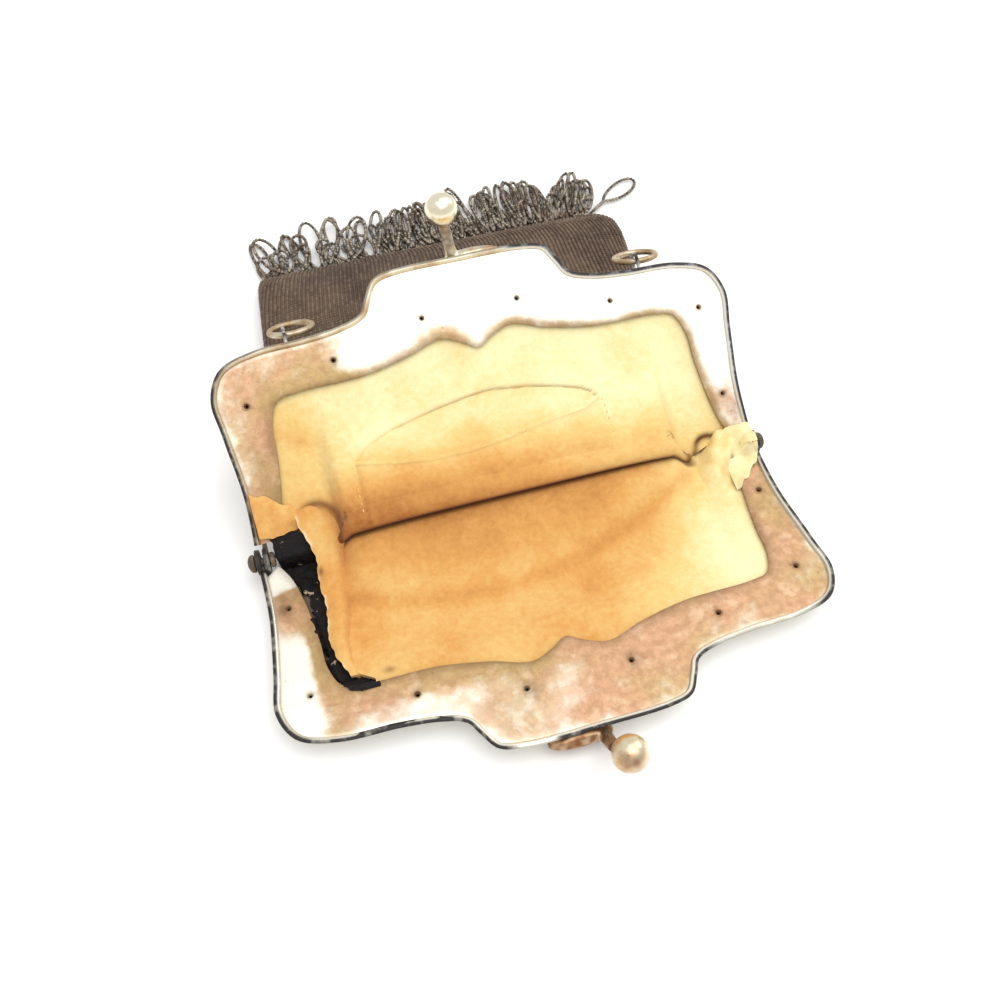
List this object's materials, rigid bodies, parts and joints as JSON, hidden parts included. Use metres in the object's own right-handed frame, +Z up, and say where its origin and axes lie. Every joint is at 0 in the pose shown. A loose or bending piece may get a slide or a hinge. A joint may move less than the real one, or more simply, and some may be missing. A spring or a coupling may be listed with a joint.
{
  "type": "chatelaine purse",
  "caption": "Small chatelaine purse lying open: hinged stepped metal frame with ball snap clasp and hanging rings, bead-knit bag with looped fringe, torn chamois lining with a pocket.",
  "frame": {"origin": "on the table under the middle of the hinge line, on the flat underside of the bag's front panel", "axes": "+X along the hinge line, +Y from the hinge line over the bag towards the fringe, +Z up from the table"},
  "size_m": [0.1038, 0.1607, 0.0461],
  "materials": {
    "frame_silver": "worn white metal, tarnished in the corners",
    "plate_tarnished": "worn white metal with pinkish-tan tarnish and stains",
    "bead_knit": "fine bead knit, grey-brown",
    "chamois": "matt napped chamois, yellow to ochre",
    "fringe_beads": "small steel beads strung in loops"
  },
  "bodies": {
    "root": {"front_frame": "frame_silver", "back_frame": "frame_silver", "front_inner_plate": "plate_tarnished", "back_inner_plate": "plate_tarnished", "front_clasp_knob": "frame_silver", "back_clasp_knob": "frame_silver", "hinge_pin_left": "frame_silver", "hinge_pin_right": "frame_silver", "ring_left": "frame_silver", "ring_right": "frame_silver", "bag_front": "bead_knit", "bag_back": "bead_knit", "lining_front": "chamois", "lining_back": "chamois", "lining_pocket": "chamois", "fringe": "fringe_beads"}
  },
  "joints": []
}
